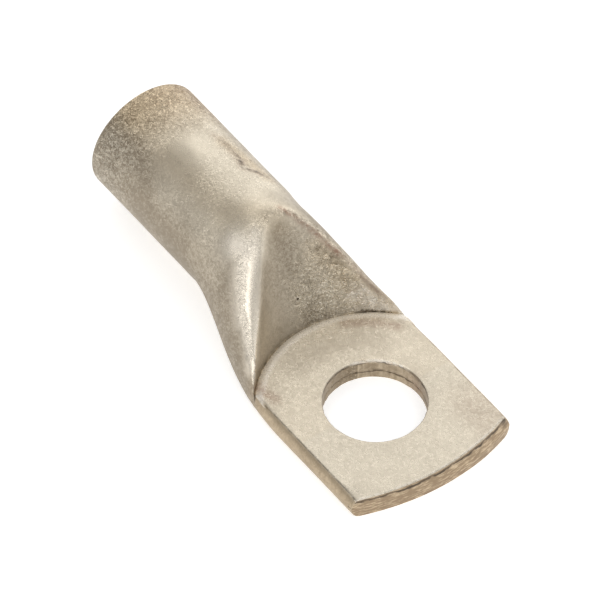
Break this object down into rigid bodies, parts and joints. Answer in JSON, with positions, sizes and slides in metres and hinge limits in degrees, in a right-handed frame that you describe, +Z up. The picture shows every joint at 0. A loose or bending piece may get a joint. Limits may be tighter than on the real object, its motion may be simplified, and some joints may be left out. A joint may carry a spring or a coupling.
{
  "type": "tubular cable lug",
  "caption": "One-piece tinned copper tube lug: a round barrel that takes a cable, a pressed neck, and a flat palm pierced for a stud.",
  "frame": {"origin": "centre of the stud hole on the palm's underside", "axes": "+X towards the palm's tip with the barrel opening towards -X, +Z up out of the palm's upper face"},
  "size_m": [0.0401, 0.0154, 0.0104],
  "materials": {
    "tinned_copper": "satin tin plate, warm silver, lightly scuffed"
  },
  "bodies": {
    "root": {"lug": "tinned_copper"}
  },
  "joints": []
}
